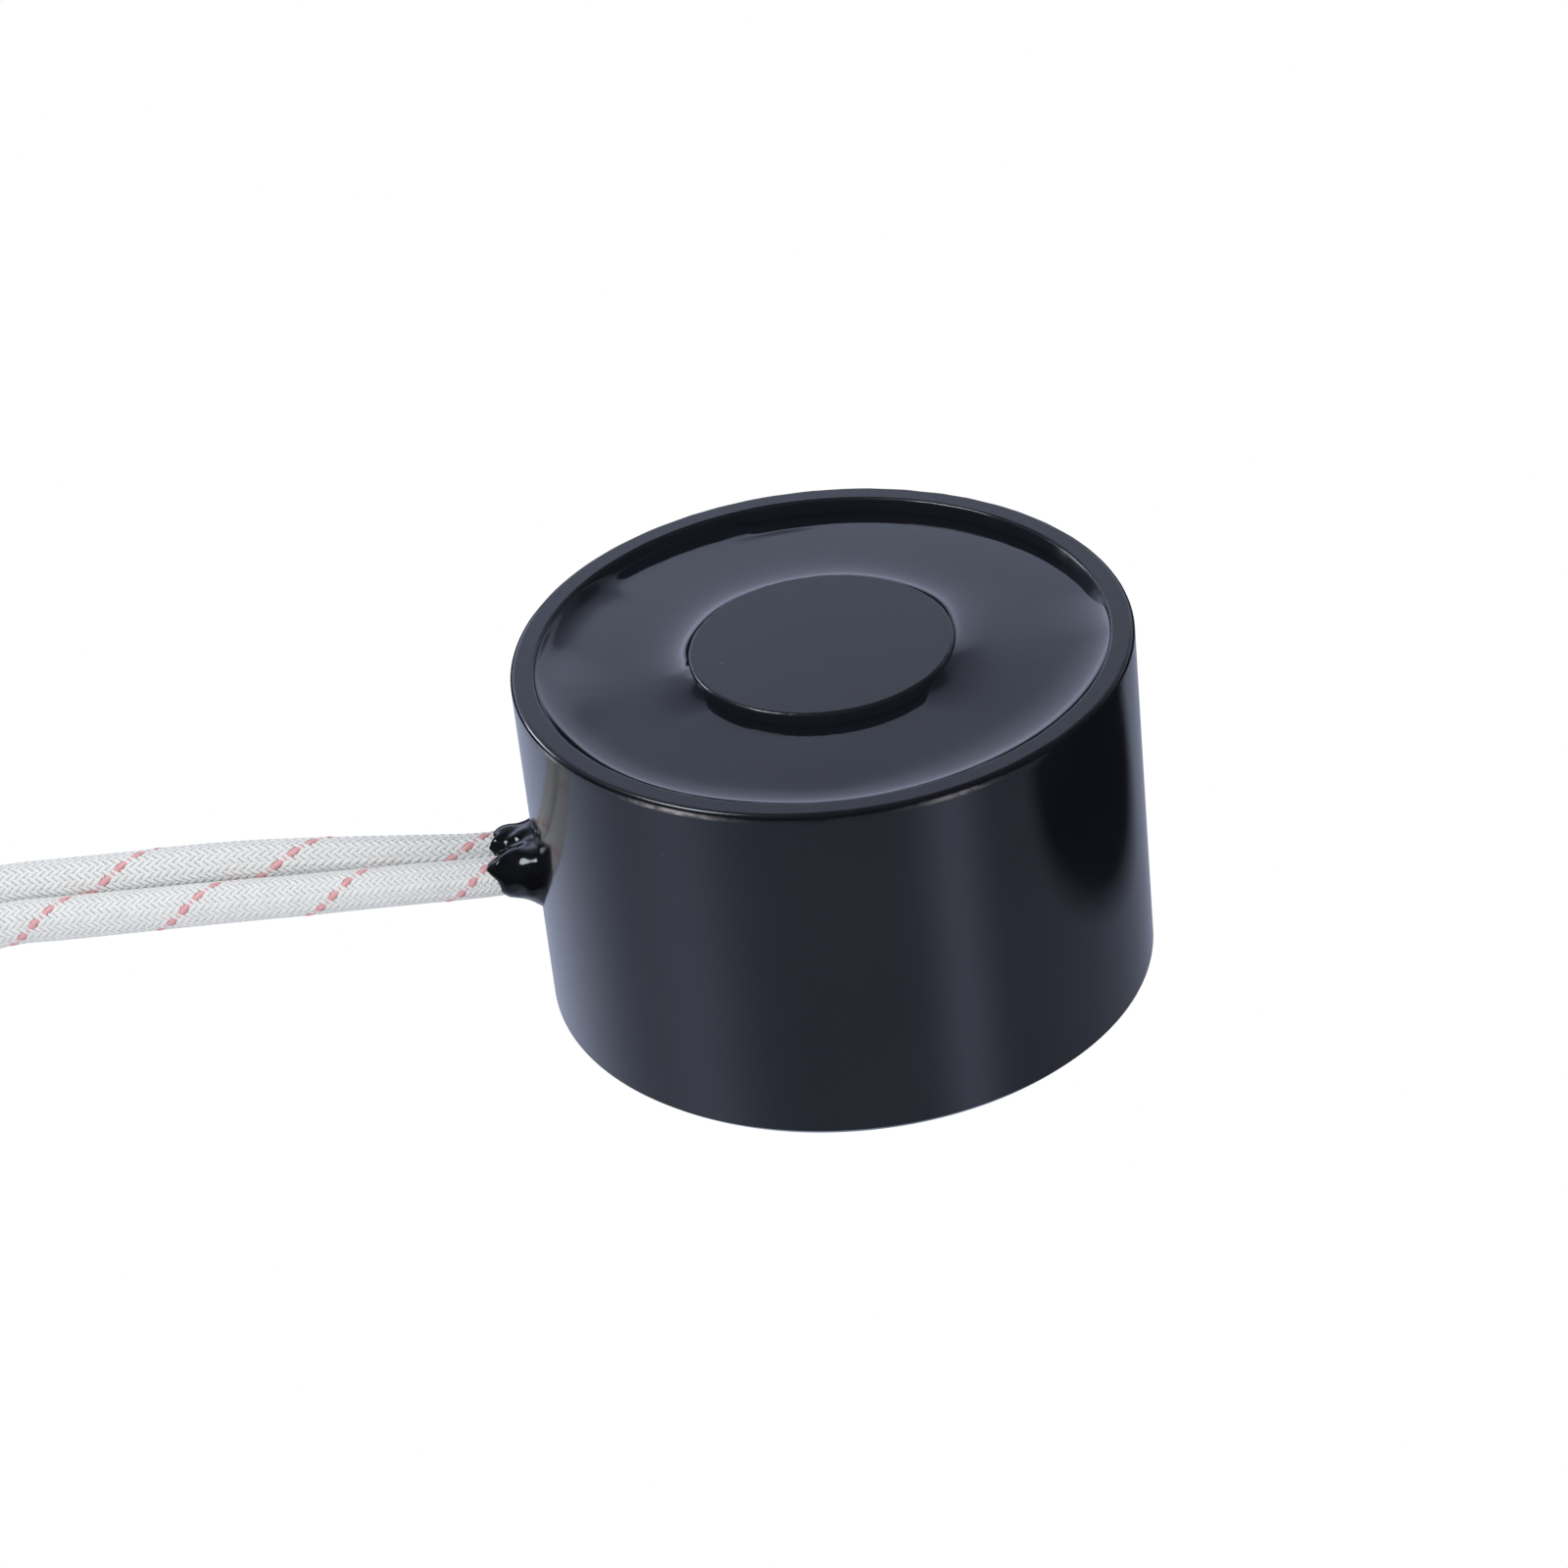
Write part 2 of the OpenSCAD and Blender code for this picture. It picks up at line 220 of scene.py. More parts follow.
def plateau(deg, stops):
    # 0 outside the first and last of the four angles, 1 between the middle two
    middle = (stops[1] + stops[2]) / 2
    deg = angleFrom(deg, middle) + middle
    return smoothStep(stops[0], stops[1], deg) * (1 - smoothStep(stops[2], stops[3], deg))


# lines and what follows them

def smoothLine(points, step):
    # Catmull-Rom curve through the points: on each stretch
    # (2 b + (c - a) u + (2 a - 5 b + 4 c - d) u^2 + (3 b - a - 3 c + d) u^3) / 2
    p = np.asarray(points, float)
    p = np.concatenate([[2 * p[0] - p[1]], p, [2 * p[-1] - p[-2]]])
    a, b, c, d = (p[k:len(p) - 3 + k, None, :] for k in range(4))
    u = np.linspace(0, 1, 25)[:-1][None, :, None]
    curve = (2 * b + (c - a) * u + (2 * a - 5 * b + 4 * c - d) * u ** 2
             + (3 * b - a - 3 * c + d) * u ** 3) / 2
    curve = np.concatenate([curve.reshape(-1, 3), p[-2:-1]])
    return atDistances(curve, np.arange(0, lengthOf(curve), step))


def alongLine(line):
    # distance from the line's start to each of its points
    return np.concatenate([[0], np.cumsum(np.linalg.norm(np.diff(line, axis=0), axis=1))])


def lengthOf(line):
    return float(alongLine(line)[-1])


def atDistances(line, distances):
    # the line's points at these distances from its start
    along = alongLine(line)
    return np.stack([np.interp(distances, along, line[:, k]) for k in range(3)], axis=1)


def unit(v):
    return v / np.linalg.norm(v, axis=-1, keepdims=True)


def outward(line, angle):
    # cos angle * across + sin angle * lift: across is level and square to the line, lift square to both
    heading = unit(np.gradient(line, axis=0))
    across = unit(np.cross(np.array([0.0, 0.0, 1.0]), heading))
    lift = np.cross(heading, across)
    return np.cos(angle)[..., None] * across[:, None, :] + np.sin(angle)[..., None] * lift[:, None, :]


def tubeMesh(line, radius, sides):
    # rings of line + radius * outward, closed by one point in the middle of each end
    a = 2 * math.pi * np.arange(sides) / sides
    r = np.broadcast_to(np.asarray(radius, float), (len(line),))[:, None, None]
    return closedRings(line[:, None, :] + r * outward(line, a), np.stack([line[0], line[-1]]))


# leads: their lines, in the same frame as the solids

leadSizes = {
    "coilRadius": 27.0,
    "coilCentre": (-124.0, -19.0),
    "inwardPerTurn": 4.3,
    "pointsPerTurn": 24,
    "height": {"front": 2.65, "rear": 6.95},
    "turns": {"front": 1.267, "rear": 1.234},
    "lineStep": 0.2,
}

frontRoute = [
    (-27.4, -2.25, 15.5), (-31, -2.25, 15.5), (-36, -2.25, 15.4), (-41, -2.1, 15.4),
    (-47, -1.7, 15.25), (-53, -1.2, 15.0), (-59, -0.6, 14.75), (-65, 0.1, 14.4),
    (-71, 0.9, 13.95), (-77, 1.9, 13.35), (-83, 3.0, 12.65), (-90, 4.2, 10.4), (-96, 5.2, 7.4),
    (-102, 6.2, 4.7), (-108, 7.0, 3.0), (-113, 7.5, 2.65), (-118, 7.9, 2.65), (-124, 8, 2.65)]
rearRoute = [
    (-27.4, 2.25, 15.5), (-31, 2.25, 15.45), (-36, 2.25, 15.4), (-41, 2.4, 15.75),
    (-47, 2.7, 16.15), (-53, 3.0, 16.5), (-59, 3.4, 16.65), (-65, 4.0, 16.4),
    (-71, 4.8, 15.85), (-77, 5.8, 15.25), (-83, 6.8, 14.6), (-90, 7.5, 13.3), (-96, 7.8, 11.4),
    (-102, 7.9, 9.2), (-108, 8, 7.8), (-113, 8, 7.15), (-118, 8, 6.98), (-124, 8, 6.95)]


def coilPoint(sizes, turns, height):
    # spiral r = coilRadius - inwardPerTurn * turns, at 90 + 360 * turns degrees
    r = sizes["coilRadius"] - sizes["inwardPerTurn"] * turns
    a = math.radians(90 + 360 * turns)
    return (sizes["coilCentre"][0] + r * math.cos(a), sizes["coilCentre"][1] + r * math.sin(a), height)


def leadLine(sizes, route, side):
    # a smooth line through the route and then round the coil
    turns = sizes["turns"][side]
    count = math.ceil(turns * sizes["pointsPerTurn"])
    coil = [coilPoint(sizes, turns * k / count, sizes["height"][side]) for k in range(1, count + 1)]
    return smoothLine(route + coil, sizes["lineStep"])


frontLine = leadLine(leadSizes, frontRoute, "front")
rearLine = leadLine(leadSizes, rearRoute, "rear")
print("lead lines", round(lengthOf(frontLine), 1), "and", round(lengthOf(rearLine), 1), "mm")


# finishes: every one is a Principled shader fed by Object coordinates

def feed(socket, value):
    # a link from another node's output, or else the socket's own constant
    if isinstance(value, bpy.types.NodeSocket):
        socket.id_data.links.new(value, socket)
    else:
        socket.default_value = (*value, 1) if socket.type == "RGBA" else value


def newNode(tree, kind, inputs, **settings):
    # a node with its settings made first and then its inputs fed, by name or number; gives its outputs
    node = tree.nodes.new("ShaderNode" + kind)
    for name, value in settings.items():
        setattr(node, name, value)
    for name, value in inputs.items():
        feed(node.inputs[name], value)
    return node.outputs


def objectPlace(tree):
    return newNode(tree, "TexCoord", {})["Object"]


def splitOf(tree, vector):
    parts = newNode(tree, "SeparateXYZ", {"Vector": vector})
    return parts["X"], parts["Y"], parts["Z"]


def noiseOn(tree, scale, detail=3.0, stretch=(1, 1, 1)):
    # noise read in Object coordinates, with its Mapping node for stretch
    mapped = newNode(tree, "Mapping", {"Vector": objectPlace(tree), "Scale": stretch})
    return newNode(tree, "TexNoise", {"Vector": mapped["Vector"], "Scale": scale, "Detail": detail})["Fac"]


def rangeOf(tree, value, fromLow, fromHigh, toLow=0, toHigh=1):
    # the value carried from the first range to the second, and held at its ends
    return newNode(tree, "MapRange", {"Value": value, "From Min": fromLow, "From Max": fromHigh,
                                      "To Min": toLow, "To Max": toHigh})["Result"]


def mixColours(tree, factor, first, second, clampFactor=True):
    return newNode(tree, "Mix", {"Factor": factor, "A": first, "B": second},
                   data_type="RGBA", clamp_factor=clampFactor)["Result"]


def mathNode(tree, operation, first, *others):
    # the operation on one value, or carried on through a row of them; each is an output or a number
    if not others:
        return newNode(tree, "Math", {0: first}, operation=operation)["Value"]
    for other in others:
        first = newNode(tree, "Math", {0: first, 1: other}, operation=operation)["Value"]
    return first


def azimuthOf(tree, x, y):
    # the angle of (x, y) from the x axis, in degrees
    return mathNode(tree, "MULTIPLY", mathNode(tree, "ARCTAN2", y, x), 180 / math.pi)


def radiusOf(tree, x, y):
    # sqrt(x^2 + y^2)
    squares = mathNode(tree, "ADD", mathNode(tree, "MULTIPLY", x, x), mathNode(tree, "MULTIPLY", y, y))
    return mathNode(tree, "SQRT", squares)


def bandsOf(tree, start, azimuth, bands):
    # start + sum of gain * exp(-((azimuth - centre) / width)^2) for each (centre, width, gain), in degrees
    for centre, width, gain in bands:
        off = mathNode(tree, "DIVIDE", mathNode(tree, "SUBTRACT", azimuth, centre), width)
        bell = mathNode(tree, "EXPONENT", mathNode(tree, "MULTIPLY", off, off, -1))
        start = mathNode(tree, "ADD", mathNode(tree, "MULTIPLY", bell, gain), start)
    return start


def newFinish(name, colour, roughness, ior=1.5, metallic=0.0):
    material = bpy.data.materials.new(name)
    material.use_nodes = True
    tree = material.node_tree
    shader = tree.nodes["Principled BSDF"]
    plain = {"Base Color": colour, "Roughness": roughness, "IOR": ior, "Metallic": metallic}
    for socketName, value in plain.items():
        feed(shader.inputs[socketName], value)
    return material, tree, shader


def addBump(tree, shader, height, strength, distance):
    bumped = newNode(tree, "Bump", {"Height": height, "Strength": strength, "Distance": distance})
    feed(shader.inputs["Normal"], bumped["Normal"])


def addColour(tree, shader, share, colour):
    # this share of the colour over what the shader has already
    base = shader.inputs["Base Color"]
    feed(base, mixColours(tree, share, base.links[0].from_socket, colour))


def addDust(tree, shader, look):
    # specks of dust over the shader's own colour: a round spot at the middle of the chosen share of cells
    cells = newNode(tree, "TexVoronoi", {"Vector": objectPlace(tree), "Scale": 1 / look["cell"]})
    lot = newNode(tree, "SeparateColor", {"Color": cells["Color"]})["Red"]
    near = rangeOf(tree, cells["Distance"], look["core"], look["edge"], 1, 0)
    chosen = rangeOf(tree, lot, 1 - look["share"], 1.005 - look["share"])
    addColour(tree, shader, mathNode(tree, "MULTIPLY", near, chosen), look["colour"])


def addPaintedRimGlints(tree, shader, look):
    # painted highlights along the rim's outer edge: pale patches as bells round the azimuth, in a band of
    # height, only outside the radii, and broken up by noise; they are paler and rougher than the lacquer
    x, y, z = splitOf(tree, objectPlace(tree))
    bells = bandsOf(tree, 0, azimuthOf(tree, x, y), look["marks"])
    low, full, end, high = look["heights"]
    band = mathNode(tree, "MULTIPLY", rangeOf(tree, z, low, full), rangeOf(tree, z, end, high, 1, 0))
    outside = rangeOf(tree, radiusOf(tree, x, y), *look["radii"])
    patchy = rangeOf(tree, noiseOn(tree, look["scale"], stretch=(1, 1, 2)), *look["patches"])
    paintedGlint = mathNode(tree, "MULTIPLY", bells, band, outside, patchy)
    addColour(tree, shader, paintedGlint, look["colour"])
    rough = shader.inputs["Roughness"]
    rise = mathNode(tree, "MULTIPLY", paintedGlint, look["roughness"])
    feed(rough, mathNode(tree, "ADD", rough.links[0].from_socket, rise))


plainLook = {
    "colourNoise": (0.3, 0.7),
    "roughNoise": (0.25, 0.75),
    "smoother": 0.85,
    "rougher": 1.2,
    "bumpScale": 4,
    "bumpDepth": 0.00005,
}


def plainFinish(name, colour, second, roughness, scale, ior=1.5, metallic=0.0, strength=0.1, dust=None):
    # two close colours mixed by noise, uneven roughness and a shallow bump
    material, tree, shader = newFinish(name, colour, roughness, ior, metallic)
    look = plainLook
    spots = noiseOn(tree, scale)
    mottle = rangeOf(tree, spots, *look["colourNoise"])
    feed(shader.inputs["Base Color"], mixColours(tree, mottle, colour, second))
    uneven = roughness * look["smoother"], min(1.0, roughness * look["rougher"])
    feed(shader.inputs["Roughness"], rangeOf(tree, spots, *look["roughNoise"], *uneven))
    addBump(tree, shader, noiseOn(tree, scale * look["bumpScale"]), strength, look["bumpDepth"])
    if dust:
        addDust(tree, shader, dust)
    return material


dustLook = {
    "cell": 0.0024,
    "core": 0.02,
    "edge": 0.06,
    "share": 0.13,
    "colour": (0.22, 0.23, 0.25),
}
# pale patches where the lamps' streaks fall on the rim's outer edge: painted highlights
paintedRimGlintLook = {
    "marks": ((-121, 7, 1.0), (-70, 6, 0.35), (-152, 3, 0.5)),
    "heights": (0.03560, 0.03575, 0.03605, 0.03620),
    "radii": (0.0285, 0.0288),
    "scale": 1100,
    "patches": (0.36, 0.54, 0.3, 1),
    "colour": (0.36, 0.34, 0.34),
    "roughness": 0.25,
}
lacquerLook = {
    "colour": (0.0050, 0.0055, 0.0085),
    "dusty": (0.0070, 0.0076, 0.0110),
    "dustyNoise": (60, 0.35, 0.65),
    # paler colour for the groove: painted reflected light
    "inside": (0.0120, 0.0140, 0.0190),
    "ior": 1.47,
    "faceHeights": (0.03635, 0.03646),
    "boreRadii": (0.0277, 0.0279),
    "sideRoughness": 0.13,
    "faceRoughness": 0.27,
    "smearScale": 90,
    "smearNoise": (0.3, 0.7, -0.02, 0.03),
    "peelScale": 420.0,
    "peelStrength": 0.05,
    "peelDepth": 0.0001,
}


def lacquerFinish(look, dust, rimGlints):
    # gloss lacquer on the wall, a duller one on the faces at the top, and a paler one in the groove, which is
    # nearer the axis than the bore and not at the faces' height;
    # the groove's paler colour is painted reflected light, and dust and painted highlights along the rim's
    # outer edge lie over them
    material, tree, shader = newFinish("black_lacquer", look["colour"], look["sideRoughness"], look["ior"])
    x, y, z = splitOf(tree, objectPlace(tree))
    onFace = rangeOf(tree, z, *look["faceHeights"])
    base = rangeOf(tree, onFace, 0, 1, look["sideRoughness"], look["faceRoughness"])
    smear = rangeOf(tree, noiseOn(tree, look["smearScale"], 4), *look["smearNoise"])
    feed(shader.inputs["Roughness"], mathNode(tree, "ADD", base, smear))
    scale, low, high = look["dustyNoise"]
    plain = mixColours(tree, rangeOf(tree, noiseOn(tree, scale), low, high), look["colour"], look["dusty"])
    # the groove's paler colour is painted reflected light, standing in for light thrown back in from the
    # resin and the studio
    inBore = rangeOf(tree, radiusOf(tree, x, y), *look["boreRadii"], 1, 0)
    paintedGrooveLight = mathNode(tree, "MAXIMUM", mathNode(tree, "SUBTRACT", inBore, onFace), 0)
    feed(shader.inputs["Base Color"], mixColours(tree, paintedGrooveLight, plain, look["inside"]))
    addDust(tree, shader, dust)
    addPaintedRimGlints(tree, shader, rimGlints)
    addBump(tree, shader, noiseOn(tree, look["peelScale"], 2), look["peelStrength"], look["peelDepth"])
    return material


blackLacquer = lacquerFinish(lacquerLook, dustLook, paintedRimGlintLook)
pottingResin = plainFinish("potting_resin", (0.0075, 0.0082, 0.0125), (0.0090, 0.0100, 0.0150),
                           0.06, 45, 1.51, strength=0.05, dust=dustLook)
sealantGloss = plainFinish("exit_sealant", (0.0040, 0.0043, 0.0060), (0.0070, 0.0075, 0.0095),
                           0.10, 300, 1.36, strength=0.2)
braidGlass = plainFinish("glass_braid", (0.82, 0.84, 0.84), (0.88, 0.89, 0.89), 0.42, 700, strength=0.15)
# the core is a little darker than the yarns: painted shade inside the braid
shadedBraidCore = plainFinish("braid_core", (0.72, 0.74, 0.76), (0.78, 0.80, 0.81), 0.6, 500)
tracerRed = plainFinish("tracer_yarn", (0.79, 0.35, 0.38), (0.85, 0.48, 0.51), 0.45, 1500, strength=0.15)
wireWhite = plainFinish("wire_insulation", (0.80, 0.80, 0.78), (0.86, 0.86, 0.84), 0.38, 200)
tinnedCopper = plainFinish("tinned_copper", (0.66, 0.66, 0.68), (0.78, 0.77, 0.76), 0.28, 900, metallic=1.0)
tiePlastic = plainFinish("tie_plastic", (0.012, 0.012, 0.014), (0.020, 0.020, 0.022), 0.38, 350)
shrinkSleeve = plainFinish("shrink_sleeve", (0.015, 0.015, 0.017), (0.025, 0.025, 0.027), 0.45, 300)
enamelCopper = plainFinish("enamelled_copper", (0.42, 0.13, 0.035), (0.55, 0.20, 0.06),
                           0.22, 260, metallic=1.0)
bobbinPlastic = plainFinish("bobbin_plastic", (0.62, 0.58, 0.47), (0.68, 0.64, 0.54), 0.5, 120)
polyesterTape = plainFinish("polyester_tape", (0.72, 0.50, 0.08), (0.78, 0.58, 0.12), 0.25, 120)
pressBoard = plainFinish("pressboard", (0.40, 0.31, 0.19), (0.50, 0.40, 0.26), 0.8, 900, strength=0.3)
print("finishes made")


# braided sleeves

braidSizes = {
    "yarnsEachWay": 20,
    "weaveDepth": 0.055,
    "yarnThickness": 0.13,
    "yarnWidth": 0.69,
    "tracerWidth": 0.84,
    "tracerLift": 0.85,
    "tracerFaceDeg": 33.6,
    "bunchedOver": 14.0,
    "squeezedRadius": 1.86,
    "loosening": (0, 58, 0.24),
    "settling": (62, 85, 0.06),
    "visibleLength": 62.0,
    "visibleStep": 0.21,
    "hiddenStep": 0.42,
    "coreGap": 0.09,
    "coreStep": 0.8,
    "coreSides": 24,
}
frontBraid = {"turnLength": 15.6, "bunchedTurns": 0.38, "tracerAt": 8.4}
rearBraid = {"turnLength": 17.1, "bunchedTurns": 0.0, "tracerAt": 10.2}


def braidTurns(s, braid, sizes):
    # turns of a yarn at distance s: evenly laid, and bunched toward the pot
    bunched = braid["bunchedTurns"] * (1 - np.exp(-s / sizes["bunchedOver"]))
    return s / braid["turnLength"] + bunched


def sleeveRadius(s, sizes):
    # middle of the braid: squeezed in the sealant, loose along the run, even in the coil
    start, end, looser = sizes["loosening"]
    settle, settled, tighter = sizes["settling"]
    return (sizes["squeezedRadius"] + looser * smoothStep(start, end, s)
            - tighter * smoothStep(settle, settled, s))


def yarnSet(line, s, angle, weave, width, sizes):
    # each yarn is a strip with a raised middle, wound at angle[s, yarn] and lifted by weave[s, yarn]
    out = outward(line, angle)
    radius = (sleeveRadius(s, sizes)[:, None] + sizes["weaveDepth"] * weave)[..., None]
    middle = line[:, None, :] + radius * out
    onward = unit(np.gradient(middle, axis=0))
    aside = unit(np.cross(onward, out))
    half = width / 2
    thick = sizes["yarnThickness"] / 2
    return np.stack([middle - half * aside - thick * out,
                     middle + thick * out,
                     middle + half * aside - thick * out], axis=2)


def yarnMesh(corners):
    # corners[s, yarn, 3 points, xyz], with each yarn closed at both ends
    steps, yarns = corners.shape[:2]
    last = 3 * (steps - 1)
    faces = [gridFaces(steps, 3), np.array([[0, 2, 1], [last, last + 1, last + 2]])]
    return joinShells([(corners[:, k].reshape(-1, 3), faces) for k in range(yarns)])


def braidedSleeve(name, line, braid, sizes, replaced):
    length = lengthOf(line)
    s = np.concatenate([np.arange(0, sizes["visibleLength"], sizes["visibleStep"]),
                        np.arange(sizes["visibleLength"], length, sizes["hiddenStep"])])
    path = atDistances(line, s)
    count = sizes["yarnsEachWay"]
    turns = 2 * math.pi * braidTurns(s, braid, sizes)[:, None]
    start = (math.radians(sizes["tracerFaceDeg"])
             + 2 * math.pi * braidTurns(braid["tracerAt"], braid, sizes))
    lay = 2 * math.pi * np.arange(count)[None, :] / count

    def weave(angle):
        # two over, two under: sin(count / 2 * angle + 45 degrees)
        return np.sin(count / 2 * (angle - start) + math.pi / 4)

    rightHand = start + turns + lay
    leftHand = start - turns + lay
    dyedHand = leftHand[:, :1]
    right = yarnSet(path, s, rightHand, weave(rightHand), sizes["yarnWidth"], sizes)
    left = yarnSet(path, s, leftHand, -weave(leftHand), sizes["yarnWidth"], sizes)
    dyed = yarnSet(path, s, dyedHand, sizes["tracerLift"] - weave(dyedHand), sizes["tracerWidth"], sizes)
    inner = atDistances(line, np.arange(0, length, sizes["coreStep"]))
    coreRadius = sleeveRadius(alongLine(inner), sizes) - sizes["coreGap"]
    shells = {
        "_braid_right": (yarnMesh(right), braidGlass),
        "_braid_left": (yarnMesh(left[:, 1:]), braidGlass),
        "_tracer": (yarnMesh(dyed), tracerRed),
        "_core": (tubeMesh(inner, coreRadius, sizes["coreSides"]), shadedBraidCore),
    }
    pieces = [newPiece(name + part, shell, finish) for part, (shell, finish) in shells.items()]
    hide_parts(*replaced)
    return pieces[0], pieces[1:], path


frontSleeve, frontParts, frontPath = braidedSleeve("lead_front", frontLine, frontBraid, braidSizes,
                                                   ["lead_front", "lead_coil_front"])
rearSleeve, rearParts, rearPath = braidedSleeve("lead_rear", rearLine, rearBraid, braidSizes,
                                                ["lead_rear", "lead_coil_rear"])
print("sleeves braided")


# wire ends: insulated wire out of each sleeve, and its tinned strands

wireSizes = {
    "insulationDiameter": 2.2,
    "startDeg": {"front": 209.2, "rear": 197.2},
    "startRadius": 19.17,
    "inwardDeg": 30.0,
    "straightLength": 10.0,
    "pointsInSleeve": 26,
    "wireSides": 20,
    "tipLength": 5.0,
    "tipInWire": 0.5,
    "strandDiameter": 0.46,
    "strandSwell": 1.04,
    "strandTurns": 1.3,
    "strandSides": 8,
}


def bendLine(start, startHeading, end, endHeading, count):
    # cubic Hermite curve between two points with given headings
    u = np.linspace(0, 1, count)[:, None]
    span = np.linalg.norm(end - start)
    return ((2 * u ** 3 - 3 * u ** 2 + 1) * start + (u ** 3 - 2 * u ** 2 + u) * span * startHeading
            + (3 * u ** 2 - 2 * u ** 3) * end + (u ** 3 - u ** 2) * span * endHeading)


def wireEnd(side, sleeveLine, sizes):
    a = math.radians(sizes["startDeg"][side])
    centre = np.array([*leadSizes["coilCentre"], sleeveLine[-1][2]])
    bendEnd = centre + sizes["startRadius"] * np.array([math.cos(a), math.sin(a), 0])
    turn = a + math.pi / 2 + math.radians(sizes["inwardDeg"])
    onward = np.array([math.cos(turn), math.sin(turn), 0])
    inside = sleeveLine[-sizes["pointsInSleeve"]:]
    bend = bendLine(inside[-1], unit(inside[-1] - inside[-2]), bendEnd, onward, 24)
    straight = bendEnd + onward * np.linspace(0, sizes["straightLength"], 8)[1:, None]
    line = np.concatenate([inside[:-1:5], bend, straight])
    wire = newPiece("lead_wire_" + side, tubeMesh(line, sizes["insulationDiameter"] / 2, sizes["wireSides"]),
                    wireWhite)
    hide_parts("wire_end_" + side)
    # seven strands: six wound round the one in the middle
    run = np.linspace(-sizes["tipInWire"], sizes["tipLength"], 30)
    middle = straight[-1] + onward * run[:, None]
    lift = np.array([0, 0, 1.0])
    across = np.cross(lift, onward)
    strands = []
    for k in range(7):
        wound = 2 * math.pi * (k / 6 + sizes["strandTurns"] * run / sizes["tipLength"])[:, None]
        away = 0 if k == 6 else sizes["strandDiameter"]
        strand = middle + away * (np.cos(wound) * across + np.sin(wound) * lift)
        radius = sizes["strandDiameter"] / 2 * sizes["strandSwell"]
        strands.append(tubeMesh(strand, radius, sizes["strandSides"]))
    tip = newPiece("wire_strands_" + side, joinShells(strands), tinnedCopper)
    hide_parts("tinned_tip_" + side)
    return [wire, tip]


frontWire = wireEnd("front", frontLine, wireSizes)
rearWire = wireEnd("rear", rearLine, wireSizes)
print("wire ends made")


# tie round the coil: a flat band and two twisted tails

tieSizes = {
    "atDeg": 150.0,
    "innerRadius": 19.04,
    "outerRadius": 29.2,
    "bandThickness": 0.5,
    "bandWidth": 3.4,
    "edgeInset": 0.15,
    "edgeShare": 0.6,
    "top": 9.6,
    "cornerRadius": 1.4,
    "tailLength": 8.6,
    "tailInBand": 0.2,
    "tailTurns": 2.2,
    "tailThickness": 0.9,
    "tailFlare": 0.9,
    "tailSides": 8,
}


def coilTie(sizes):
    # the band's middle line is a rounded box round both leads; its section is a flat rounded strip
    half = sizes["bandThickness"] / 2
    low = (sizes["innerRadius"] - half, half)
    high = (sizes["outerRadius"] + half, sizes["top"] - half)
    r = sizes["cornerRadius"]
    corners = ((low[0] + r, low[1] + r, 180), (high[0] - r, low[1] + r, 270),
               (high[0] - r, high[1] - r, 0), (low[0] + r, high[1] - r, 90))
    loop = np.concatenate([arcPoints((x, y), r, deg, deg + 90, 6) for x, y, deg in corners])
    onward = unit(np.roll(loop, -1, axis=0) - np.roll(loop, 1, axis=0))
    away = np.column_stack([onward[:, 1], -onward[:, 0]])
    width = sizes["bandWidth"] / 2
    flat = width - sizes["edgeInset"]
    edge = half * sizes["edgeShare"]
    section = np.array([(-width, -edge), (-flat, -half), (flat, -half), (width, -edge),
                        (width, edge), (flat, half), (-flat, half), (-width, edge)])
    radial = loop[:, None, 0] + section[None, :, 1] * away[:, None, 0]
    height = loop[:, None, 1] + section[None, :, 1] * away[:, None, 1]
    side = np.broadcast_to(section[None, :, 0], radial.shape)
    bandPoints = np.stack([radial, side, height], axis=-1).reshape(-1, 3)
    shells = [(bandPoints, [gridFaces(len(loop), len(section), closeRows=True)])]
    run = np.linspace(0, 1, 40)
    for k in range(2):
        # each tail winds round the other, and they spread at their ends
        wound = 2 * math.pi * sizes["tailTurns"] * run + math.pi * k
        spread = sizes["tailThickness"] / 2 * (1 + sizes["tailFlare"] * smoothStep(0.8, 1, run))
        out = high[0] - sizes["tailInBand"] + (sizes["tailLength"] + sizes["tailInBand"]) * run
        tail = np.column_stack([out, spread * np.cos(wound), sizes["top"] / 2 + spread * np.sin(wound)])
        shells.append(tubeMesh(tail, sizes["tailThickness"] / 2, sizes["tailSides"]))
    points, faces = joinShells(shells)
    a = math.radians(sizes["atDeg"])
    centre = leadSizes["coilCentre"]
    x, y, z = points.T
    placed = np.column_stack([centre[0] + x * math.cos(a) - y * math.sin(a),
                              centre[1] + x * math.sin(a) + y * math.cos(a), z])
    tie = newPiece("coil_tie", (placed, faces), tiePlastic)
    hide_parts("lead_tie")
    return tie


tie = coilTie(tieSizes)
print("tie made")


# pot: floor, wall and pole in one turned piece, with its thread and exit hole

potSizes = {
    "radius": 30.0,
    "height": 36.5,
    "bore": 27.6,
    "floor": 6.5,
    "pole": 12.85,
    "outerEdge": 0.5,
    "grooveEdge": 0.3,
    "backChamfer": 0.7,
    "threadCore": 3.4,
    "threadDepth": 12.0,
    "threadGroove": 0.6,
    "threadPitch": 1.25,
    "toothFlat": 0.15,
    "rowsPerPitch": 10,
    "drillPoint": 2.0,
    "sink": 0.9,
    "backRings": (12.0, 21.0),
    "faceRings": (9.0, 5.0, 1.5),
    "wallStart": 2.5,
    "wallRows": 14,
    "grooveRows": (33.0, 20.0),
    "edgeGap": 0.06,
    "exitHeight": 15.5,
    "exitRadius": 4.5,
    "exitCut": (-26.0, -28.5, -31.0),
    "exitSides": 64,
    "columns": 192,
    "edgeUnevenness": 0.035,
    "edgeSeeds": {"outerEdge": 11, "boreEdge": 12, "poleEdge": 13},
    "sharpDeg": 38,
}


